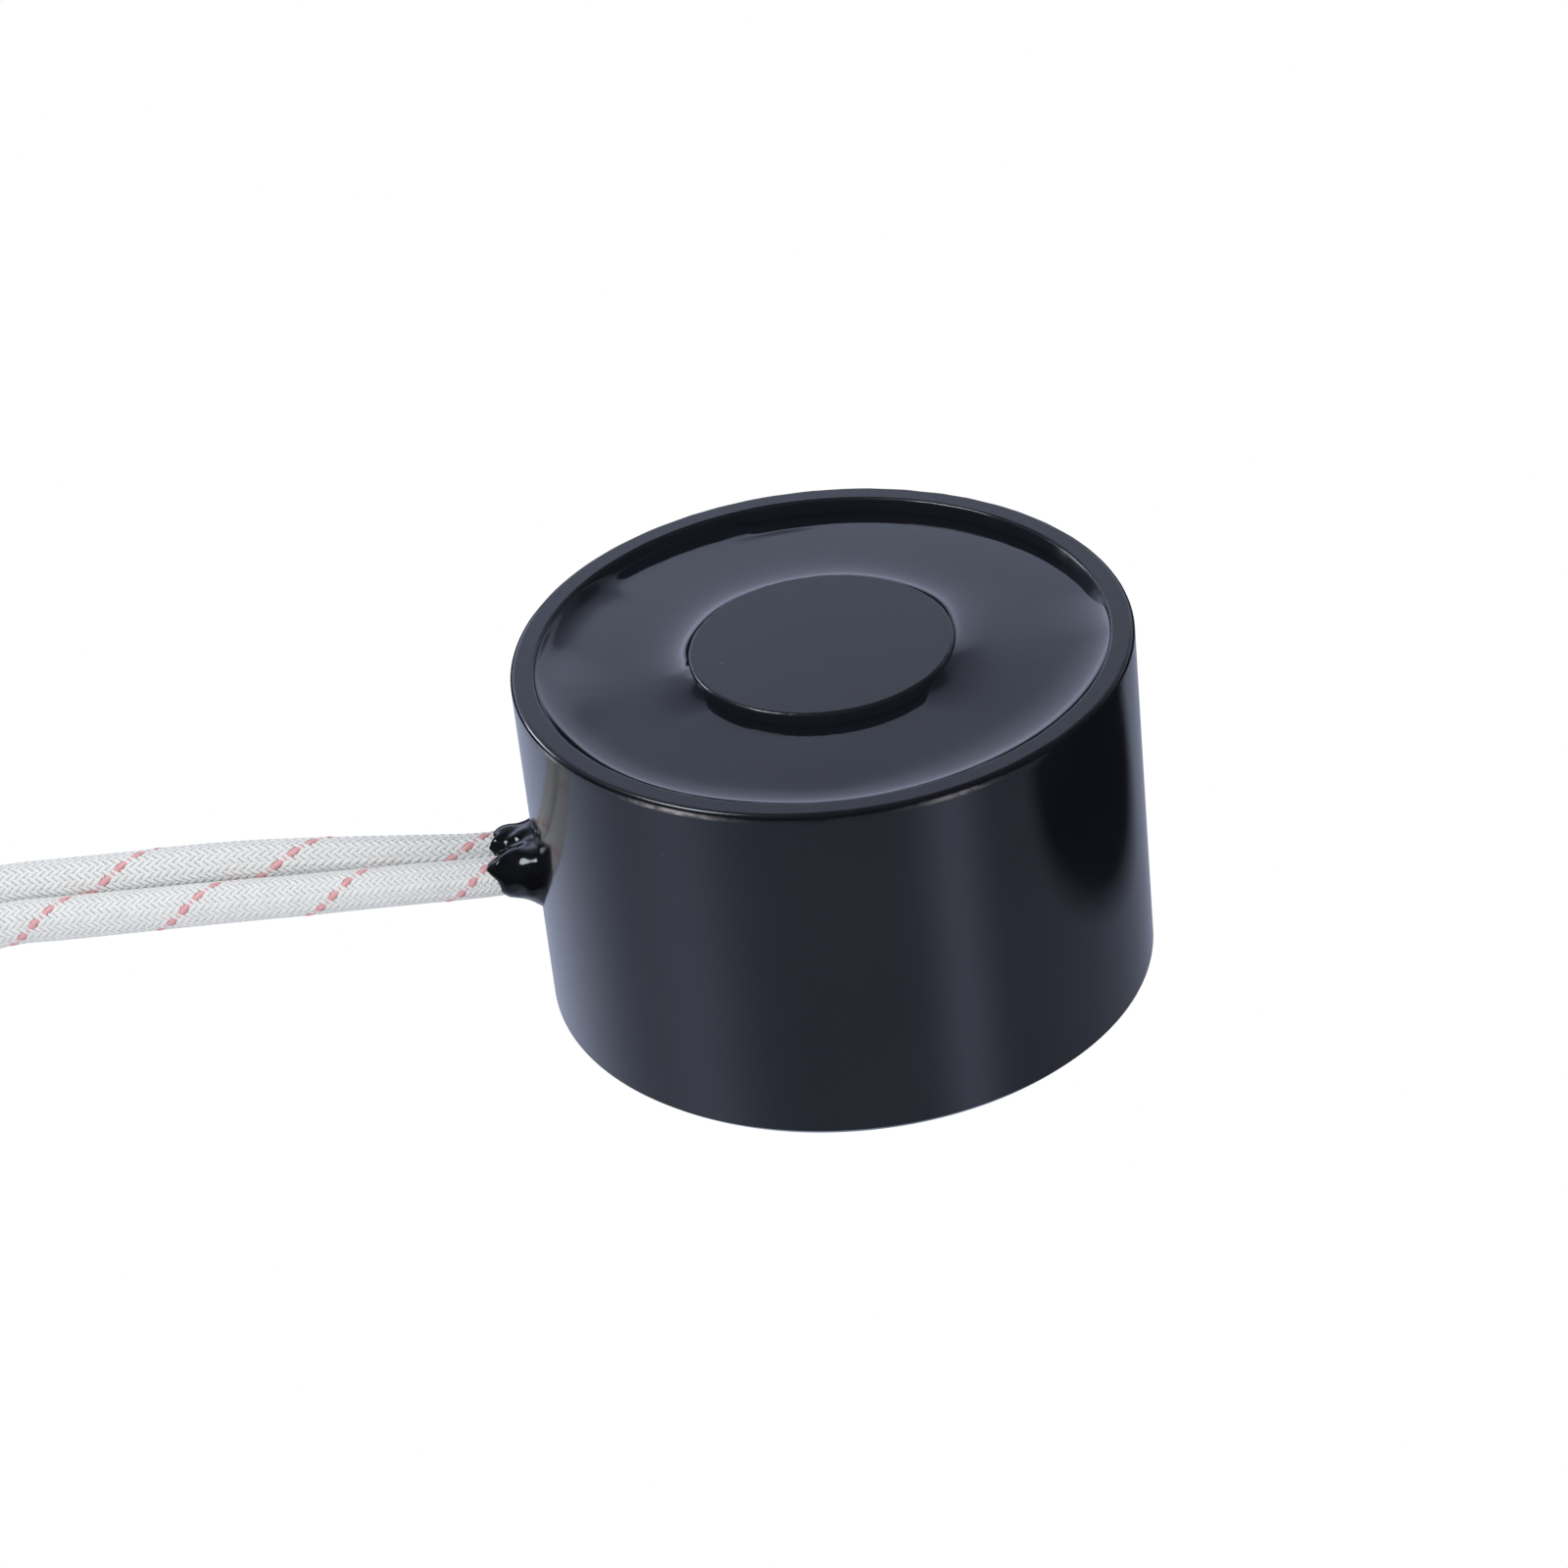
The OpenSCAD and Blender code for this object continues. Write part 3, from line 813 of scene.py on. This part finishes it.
def threadRadius(angle, z, sizes):
    # core + groove depth * tooth, where the tooth is a flat-topped V that climbs one pitch a turn,
    # and never less than the countersink's cone
    u = (z / sizes["threadPitch"] - angle / (2 * math.pi)) % 1.0
    tooth = np.clip((1 - np.abs(2 * u - 1) - sizes["toothFlat"]) / (1 - 2 * sizes["toothFlat"]), 0, 1)
    runOut = smoothStep(0, sizes["threadPitch"], sizes["threadDepth"] - z)
    threaded = sizes["threadCore"] + sizes["threadGroove"] * tooth * runOut
    cone = sizes["threadCore"] + sizes["sink"] - z
    return np.maximum(threaded, cone)


def potProfile(sizes):
    # the half section in named stretches of (r, z), from the drill point round to the pole's face
    radius, height, bore, pole = sizes["radius"], sizes["height"], sizes["bore"], sizes["pole"]
    core, depth, floor = sizes["threadCore"], sizes["threadDepth"], sizes["floor"]
    outer, inner, gap = sizes["outerEdge"], sizes["grooveEdge"], sizes["edgeGap"]
    chamfer = sizes["backChamfer"]
    step = sizes["threadPitch"] / sizes["rowsPerPitch"]
    threadZ = np.arange(depth - step, -0.001, -step)
    high, low = sizes["grooveRows"]
    backRings = [(r, 0) for r in (core + sizes["sink"] + 0.05, *sizes["backRings"], radius - chamfer)]
    wallZ = np.linspace(sizes["wallStart"], height - outer - 1, sizes["wallRows"])
    return {
        "drillPoint": np.array([(core / 2, depth + sizes["drillPoint"] / 2), (core, depth)]),
        "thread": np.column_stack([np.full(len(threadZ), core), threadZ]),
        "back": np.array([*backRings, (radius, chamfer)]),
        "wall": np.column_stack([np.full(len(wallZ), radius), wallZ]),
        "outerEdge": arcPoints((radius - outer, height - outer), outer, 0, 90, 8),
        "rim": np.array([(radius - outer - gap, height), ((radius - outer + bore + inner) / 2, height),
                         (bore + inner + gap, height)]),
        "boreEdge": arcPoints((bore + inner, height - inner), inner, 90, 180, 6),
        "groove": np.array([(bore, high), (bore, low), (bore, floor), (20, floor), (pole, floor),
                            (pole, low), (pole, high)]),
        "poleEdge": arcPoints((pole - inner, height - inner), inner, 0, 90, 6),
        "face": np.array([(r, height) for r in (pole - inner - gap, *sizes["faceRings"])]),
    }


def potPiece(sizes):
    stretches = potProfile(sizes)
    points, angle, rows = turned(stretches, sizes["columns"])
    r = threadRadius(angle[None, :], stretches["thread"][:, 1:], sizes)
    points[rows["thread"], :, 0] = r * np.cos(angle)
    points[rows["thread"], :, 1] = r * np.sin(angle)
    # the lacquer lies unevenly along the three edges round the working face
    for name, seed in sizes["edgeSeeds"].items():
        between = slice(rows[name].start + 1, rows[name].stop - 1)
        uneven = ripple(angle, 0, sizes["edgeUnevenness"], seed, 3, 34)
        points[between, :, 2] -= np.abs(uneven)[None, :]
    ends = np.array([(0, 0, sizes["threadDepth"] + sizes["drillPoint"]), (0, 0, sizes["height"])])
    pot = newPiece("pot", closedRings(points, ends), blackLacquer)
    cutLine = np.array([(x, 0, sizes["exitHeight"]) for x in sizes["exitCut"]])
    cutter = tubeMesh(cutLine, sizes["exitRadius"], sizes["exitSides"])
    cutWith(pot, newSurface("exit_cutter", cutter, blackLacquer))
    pot.data.set_sharp_from_angle(angle=math.radians(sizes["sharpDeg"]))
    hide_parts("pot_body")


potPiece(potSizes)
print("pot turned")


# resin: fills the pot over the coil, and climbs where it wets the steel

resinSizes = {
    # a rise, a width or a wave is its mean, ripple height, seed and lowest and highest wave number
    "level": 35.15,
    "tilt": 0.004,
    "wallRise": (0.85, 0.05, 21, 2, 9),
    "wallWidth": (1.2, 0.06, 22, 2, 7),
    "poleRise": (0.85, 0.04, 23, 2, 9),
    "poleWidth": (1.2, 0.06, 24, 2, 7),
    "wave": (0, 0.015, 25, 1, 5),
    "waveSpan": (12.8, 27.6),
    "wallHigher": ((184, 24, 0.2),),
    "wallWider": ((-5, 32, 0.3), (188, 18, 0.45)),
    "farWall": (-5, 15, 98, 110),
    "farDip": 0.06,
    "farDipWidth": 1.6,
    "leftWall": (98, 110, 132, 146),
    "leftLower": 0.65,
    "leftRim": (134, 150, 164, 182),
    "leftHigher": 0.2,
    "leftNarrow": (132, 148, 164, 184),
    "leftNarrower": 0.72,
    "leftRound": 0.2,
    "nearNarrow": (188, 206, 262, 290),
    "nearNarrower": 0.45,
    "poleFront": (195, 214, 308, 330),
    "poleLower": 0.97,
    "runs": ((96, 6, 2.7, 0.3, 0.05),),
    "drops": ((184, 3, 0.10),),
    "dropWidth": 0.5,
    "innerRadius": 12.83,
    "outerRadius": 27.62,
    "sideGap": 0.07,
    "sideRows": (20.0, 33.0),
    "columns": 240,
    "topRows": 72,
    "rowCrowding": 0.16,
    "flangeRadius": 24.05,
    "tapeRadius": 23.05,
    "floor": 6.5,
    "windingLow": 8.3,
    "windingTop": 30.3,
    "bobbinTop": 31.3,
    "roomHalfDeg": 71.6,
    "roomRadii": (22.95, 28.6),
    "roomHeight": 4.9,
    "roomSteps": 72,
    "sharpDeg": 50,
}


def resinHeight(r, deg, sizes):
    # tilted level + wall rise * exp(-distance to wall / width) + pole rise * exp(-distance to pole / width);
    # neither climbs where it ends at a dry wall: in front of the pole, and along the far wall, where it
    # dips by farDip * exp(-distance to wall / farDipWidth); along the left it climbs less and then more,
    # and along the left and near rim it is narrower and rounds over, with
    # sqrt(distance^2 + leftRound^2) - leftRound for the distance; deg is 0 at +X, 90 at +Y
    away = np.maximum(sizes["outerRadius"] - r, 0)
    near = np.maximum(r - sizes["innerRadius"], 0)
    angle = np.radians(deg)
    dryWall = plateau(deg, sizes["farWall"])
    lowWall = plateau(deg, sizes["leftWall"])
    narrow = plateau(deg, sizes["leftNarrow"])
    nearSide = plateau(deg, sizes["nearNarrow"])
    wallRise = ((ripple(angle, *sizes["wallRise"]) + bumpsRound(deg, sizes["wallHigher"]))
                * (1 - dryWall) * (1 - sizes["leftLower"] * lowWall)
                + sizes["leftHigher"] * plateau(deg, sizes["leftRim"]))
    wallWidth = (ripple(angle, *sizes["wallWidth"]) + bumpsRound(deg, sizes["wallWider"])
                 - sizes["leftNarrower"] * np.maximum(lowWall, narrow) - sizes["nearNarrower"] * nearSide)
    dryPole = plateau(deg, sizes["poleFront"])
    poleRise = ripple(angle, *sizes["poleRise"]) * (1 - sizes["poleLower"] * dryPole)
    poleWidth = ripple(angle, *sizes["poleWidth"])
    start, end = sizes["waveSpan"]
    wave = ripple(angle, *sizes["wave"]) * np.sin(math.pi * (r - start) / (end - start))
    # runs left beside the far wall, and drops drawn up at the pole's left
    runs = lumpsOn(deg, away, sizes["runs"])
    drops = bumpsRound(deg, sizes["drops"]) * np.exp(-near / sizes["dropWidth"])
    rounding = sizes["leftRound"] * np.maximum(narrow, nearSide)
    climb = np.sqrt(away ** 2 + rounding ** 2) - rounding
    dip = sizes["farDip"] * dryWall * np.exp(-away / sizes["farDipWidth"])
    return (sizes["level"] - sizes["tilt"] * r * np.sin(angle) + wallRise * np.exp(-climb / wallWidth)
            + poleRise * np.exp(-near / poleWidth) - dip + wave + runs + drops)


def wiringRoom(sizes, height):
    # a box section carried round an arc: the wiring keeps it free between the winding and the wall
    a = np.radians(180 + np.linspace(-sizes["roomHalfDeg"], sizes["roomHalfDeg"], sizes["roomSteps"] + 1))
    half = sizes["roomHeight"] / 2
    low, high = sizes["roomRadii"]
    box = np.array([(low, -half), (high, -half), (high, half), (low, half)])
    wedge = np.stack([box[None, :, 0] * np.cos(a)[:, None], box[None, :, 0] * np.sin(a)[:, None],
                      height + np.broadcast_to(box[None, :, 1], (len(a), 4))], axis=-1)
    last = 4 * sizes["roomSteps"]
    caps = np.array([[0, 1, 2, 3], [last + 3, last + 2, last + 1, last]])
    return wedge.reshape(-1, 3), [gridFaces(len(a), 4)[:, ::-1], caps]


def resinPiece(sizes):
    inner, outer, gap = sizes["innerRadius"], sizes["outerRadius"], sizes["sideGap"]
    floor, flange, tape = sizes["floor"], sizes["flangeRadius"], sizes["tapeRadius"]
    low, top, bobbinTop = sizes["windingLow"], sizes["windingTop"], sizes["bobbinTop"]
    u = np.linspace(0, 1, sizes["topRows"])
    # rows crowd toward the two walls
    r = outer + (inner - outer) * (u - sizes["rowCrowding"] * np.sin(2 * math.pi * u))
    stretches = {
        "side": np.array([(outer - gap, z) for z in (floor, *sizes["sideRows"])]),
        "top": np.column_stack([r, np.full(len(r), sizes["level"])]),
        "under": np.array([(inner + gap, sizes["sideRows"][1]), (inner + gap, bobbinTop), (flange, bobbinTop),
                           (flange, top), (tape, top), (tape, low), (flange, low), (flange, floor)]),
    }
    points, angle, rows = turned(stretches, sizes["columns"])
    points[rows["top"], :, 2] = resinHeight(r[:, None], np.degrees(angle)[None, :], sizes)
    faces = [gridFaces(len(points), sizes["columns"], closeRows=True)]
    resin = newPiece("resin_fill", (points.reshape(-1, 3), faces), pottingResin)
    cutWith(resin, newSurface("wiring_room", wiringRoom(sizes, potSizes["exitHeight"]), pottingResin))
    resin.data.set_sharp_from_angle(angle=math.radians(sizes["sharpDeg"]))
    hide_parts("potting_resin")


resinPiece(resinSizes)
print("resin poured")


# sealant round the two sleeves where they leave the pot

sealantSizes = {
    "axisHeight": 15.5,
    "halfPitch": 2.25,
    "wallRadius": 29.85,
    "plugRadius": 4.43,
    "plugPlaces": (-27.55, -28.6, -29.3),
    "sleeve": 1.9,
    "tipThickness": 0.34,
    "tipHollow": 0.4,
    "baseFlare": 1.05,
    "flareLean": 0.55,
    "length": (3.6, 0.12, 31, 4, 14),
    "tongues": ((153, 14, 1.35), (62, 26, 0.85)),
    "lumps": ((128, 16, 0.55, 0.25, 0.32), (75, 14, 0.45, 0.15, 0.25), (98, 9, 0.2, 0.15, 0.22),
              (190, 12, 0.35, 0.14, 0.18), (142, 11, 0.78, 0.10, 0.24)),
    "skin": (0, 0.09, 32, 3, 15),
    "noseShare": 0.20,
    "tuckIn": 0.25,
    "hollowShare": 0.6,
    "columns": 144,
    "rows": 44,
    "rowCrowding": 0.85,
}


def pairOutline(psi, radius, half, hull):
    # distance from the middle to a pair of circles side by side, at angle psi;
    # hull 1 bridges the hollow between them with a straight line, hull 0 leaves it open
    side = np.abs(np.cos(psi))
    lift = np.abs(np.sin(psi))
    circle = half * side + np.sqrt(np.maximum(radius ** 2 - (half * lift) ** 2, 0.09))
    bridged = np.where(lift * half > radius * side, radius / np.maximum(lift, 0.2), circle)
    return circle + hull * (bridged - circle)


def sealantPiece(sizes):
    # psi runs round the exit's axis, 0 toward +Y and 90 toward +Z; t runs from the wall to the tip;
    # the skin lies outside the sleeves by (tip thickness + flare * (1 - t)^2 + lumps) * nose
    deg = 360 * np.arange(sizes["columns"]) / sizes["columns"]
    psi = np.radians(deg)
    t = (np.linspace(0, 1, sizes["rows"]) ** sizes["rowCrowding"])[:, None]
    reach = ripple(psi, *sizes["length"]) + bumpsRound(deg, sizes["tongues"])
    flare = sizes["baseFlare"] - sizes["flareLean"] * np.sin(psi)
    share = sizes["noseShare"]
    nose = np.sqrt(np.clip(1 - (np.maximum(t - (1 - share), 0) / share) ** 2, 0, 1))
    lumps = lumpsOn(deg, t, sizes["lumps"]) + ripple(psi, *sizes["skin"]) * np.sin(9 * t + 3 * np.sin(psi))
    thick = (sizes["tipThickness"] + flare * (1 - t) ** 2 + lumps) * nose
    # past the nose the skin turns in under the braid
    radius = sizes["sleeve"] + thick - sizes["tuckIn"] * (1 - nose)
    rho = pairOutline(psi, radius, sizes["halfPitch"], 1 - sizes["hollowShare"] * t)
    y = rho * np.cos(psi)
    z = sizes["axisHeight"] + rho * np.sin(psi)
    wallX = np.sqrt(sizes["wallRadius"] ** 2 - y ** 2)
    x = -(wallX * (1 - t) + (potSizes["radius"] + reach) * t)
    skin = np.stack([x, y, z], axis=-1)
    plugY = sizes["plugRadius"] * np.cos(psi)
    plugZ = sizes["axisHeight"] + sizes["plugRadius"] * np.sin(psi)
    inside = np.stack([np.column_stack([np.full(len(psi), x), plugY, plugZ]) for x in sizes["plugPlaces"]])
    ends = np.array([(sizes["plugPlaces"][0], 0, sizes["axisHeight"]),
                     (skin[-1, :, 0].mean() + sizes["tipHollow"], 0, sizes["axisHeight"])])
    shell = closedRings(np.concatenate([inside, skin]), ends, flip=True)
    sealant = newPiece("exit_sealant_bead", shell, sealantGloss)
    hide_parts("exit_sealant")


sealantPiece(sealantSizes)
print("sealant laid")


# solids that are shown as they are

carried = {
    "pressboard": (pressBoard, ["insulating_washer"]),
    "bobbin_plastic": (bobbinPlastic, ["coil_bobbin"]),
    "enamelled_copper": (enamelCopper, ["coil_winding", "winding_start_tail", "winding_finish_tail"]),
    "polyester_tape": (polyesterTape, ["winding_tape"]),
    "wire_insulation": (wireWhite, ["inner_wire_front", "inner_wire_rear"]),
    "shrink_sleeve": (shrinkSleeve, ["splice_sleeve_front", "splice_sleeve_rear"]),
}
for slotName, (finish, nodeNames) in carried.items():
    for nodeName in nodeNames:
        nodes[nodeName].data.materials.clear()
        nodes[nodeName].data.materials.append(finish)
print("inner parts dressed")


# studio: pale floor, soft light, and a world that the gloss mirrors

studio = {
    "tint": (0.90, 1.0, 1.33),
    "floorBase": 0.41,
    "floorBands": ((-62, 19, 0.42), (-128, 34, 0.42), (40, 11, 0.58), (100, 60, -0.09)),
    "skyLean": 0.6,
    "skyStops": ((0.0, 1.5), (0.07, 1.5), (0.11, 1.25), (0.145, 1.06), (0.165, 0.90), (0.19, 0.48),
                 (0.24, 0.40), (0.28, 0.30), (0.31, 0.14), (0.36, 0.10), (0.5, 0.10), (0.8, 0.06),
                 (1.0, 0.04)),
    "skyEdge": (0.10, 0.24),
    "floorEdge": (-0.46, -0.34),
    "diffuseEven": (0.76, 0.775, 0.81),
    "diffuseFront": (0.42, 0.40, 0.36),
    "diffuseToward": (0.0, -0.75, 0.66),
    "lamps": {"front_lamp": ((-0.388, -0.037, 0.70), (0.28, 0.24), 3.2),
              "back_lamp": ((-0.638, 0.3985, 0.27), (0.26, 0.20), 1.3)},
    "lampColour": (0.84, 0.93, 1.0),
    "lampAim": (0, 0, 0.03),
    "floorMm": ((-2000, -2000), (2000, -2000), (2000, 2000), (-2000, 2000)),
    "floorHeightMm": -0.4,
    "floorColour": (0.80, 0.80, 0.82),
    "flagPlaceMm": (80.5, -3.5, -0.3),
    "flagRadiusMm": 36.5,
    "flagSoftMm": 4.0,
    "flagColour": (0.002, 0.002, 0.003),
}


def mixShaders(tree, factor, first, second):
    return newNode(tree, "MixShader", {"Fac": factor, 1: first, 2: second})["Shader"]


def backgroundOf(tree, colour):
    return newNode(tree, "Background", {"Color": colour})["Background"]


def skyBrightness(tree, over, stops):
    # a curve through the stops, which is held between 0 and 1 and scaled back by the brightest
    top = max(value for _, value in stops)
    ramp = tree.nodes.new("ShaderNodeFloatCurve")
    ramp.mapping.use_clip = False
    curve = ramp.mapping.curves[0]
    curve.points[0].location = (stops[0][0], stops[0][1] / top)
    curve.points[1].location = (stops[-1][0], stops[-1][1] / top)
    for at, value in stops[1:-1]:
        curve.points.new(at, value / top)
    ramp.mapping.update()
    feed(ramp.inputs["Value"], over)
    return mathNode(tree, "MULTIPLY", ramp.outputs["Value"], top)


def studioWorld(look):
    world = bpy.data.worlds.new("studio")
    world.use_nodes = True
    bpy.context.scene.world = world
    tree = world.node_tree
    tree.nodes.clear()
    direction = newNode(tree, "TexCoord", {})["Generated"]
    x, y, z = splitOf(tree, direction)
    azimuth = azimuthOf(tree, mathNode(tree, "MULTIPLY", y, -1), x)
    low = bandsOf(tree, look["floorBase"], azimuth, look["floorBands"])
    # the sky's brightness goes by the angle up from the horizon behind, over the top, to the front
    upward = mathNode(tree, "ARCTAN2", mathNode(tree, "MAXIMUM", z, 0), y)
    sky = skyBrightness(tree, mathNode(tree, "DIVIDE", upward, math.pi), look["skyStops"])
    # and falls from the left to the right by 1 - lean * x
    lean = mathNode(tree, "SUBTRACT", 1, mathNode(tree, "MULTIPLY", x, look["skyLean"]))
    # sky and floor end short of the horizon, which stays dark
    high = mathNode(tree, "MULTIPLY", sky, lean, rangeOf(tree, z, *look["skyEdge"]))
    low = mathNode(tree, "MULTIPLY", low, rangeOf(tree, z, *look["floorEdge"], 1, 0))
    strength = mathNode(tree, "ADD", high, low)
    mirrored = backgroundOf(tree, mixColours(tree, strength, (0, 0, 0), look["tint"], clampFactor=False))
    # even light plus front light * (direction . toward), from even - front to even + front
    facing = newNode(tree, "VectorMath", {0: direction, 1: look["diffuseToward"]}, operation="DOT_PRODUCT")
    even = np.array(look["diffuseEven"])
    front = np.array(look["diffuseFront"])
    soft = backgroundOf(tree, mixColours(tree, rangeOf(tree, facing["Value"], -1, 1),
                                         even - front, even + front))
    rays = newNode(tree, "LightPath", {})
    lit = mixShaders(tree, rays["Is Glossy Ray"], soft, mirrored)
    seen = mixShaders(tree, rays["Is Camera Ray"], lit, backgroundOf(tree, (1, 1, 1)))
    newNode(tree, "OutputWorld", {"Surface": seen})


def studioCard(name, corners, height, colour, hiddenFrom):
    # a flat card with an even, dull surface, unseen by the named kinds of ray
    material, tree, shader = newFinish(name, colour, 1.0)
    shader.inputs["Specular IOR Level"].default_value = 0.0
    points = np.column_stack([corners, np.full(len(corners), height)])
    card = newSurface(name, (points, [np.arange(len(corners))[None, :]]), material)
    for kind in hiddenFrom:
        setattr(card, "visible_" + kind, False)
    return tree


def studioLamp(name, place, size, power, look):
    data = bpy.data.lights.new(name, "AREA")
    data.shape = "ELLIPSE"
    data.size, data.size_y = size
    data.energy = power
    data.color = look["lampColour"]
    lamp = placeObject(name, data)
    lamp.location = place
    aim = Vector(look["lampAim"]) - Vector(place)
    lamp.rotation_euler = aim.to_track_quat("-Z", "Y").to_euler()
    lamp.visible_diffuse = False


def studioFlag(look):
    # a dark disc whose edge fades out over flagSoftMm on each side of its radius
    middle = look["flagPlaceMm"]
    inner = look["flagRadiusMm"] - look["flagSoftMm"]
    outer = look["flagRadiusMm"] + look["flagSoftMm"]
    ring = arcPoints(middle[:2], outer, 0, 360, 64)[:-1]
    tree = studioCard("black_flag", ring, middle[2], look["flagColour"], ("camera", "diffuse", "shadow"))
    away = newNode(tree, "VectorMath", {0: objectPlace(tree), 1: Vector(middle) * mm}, operation="DISTANCE")
    seen = mixShaders(tree, rangeOf(tree, away["Value"], inner * mm, outer * mm),
                      tree.nodes["Principled BSDF"].outputs["BSDF"],
                      newNode(tree, "BsdfTransparent", {})["BSDF"])
    feed(tree.nodes["Material Output"].inputs["Surface"], seen)


studioWorld(studio)
for lampName, (lampPlace, lampSize, lampPower) in studio["lamps"].items():
    studioLamp(lampName, lampPlace, lampSize, lampPower, studio)
studioCard("floor", studio["floorMm"], studio["floorHeightMm"], studio["floorColour"], ("camera", "glossy"))
studioFlag(studio)
print("studio set")
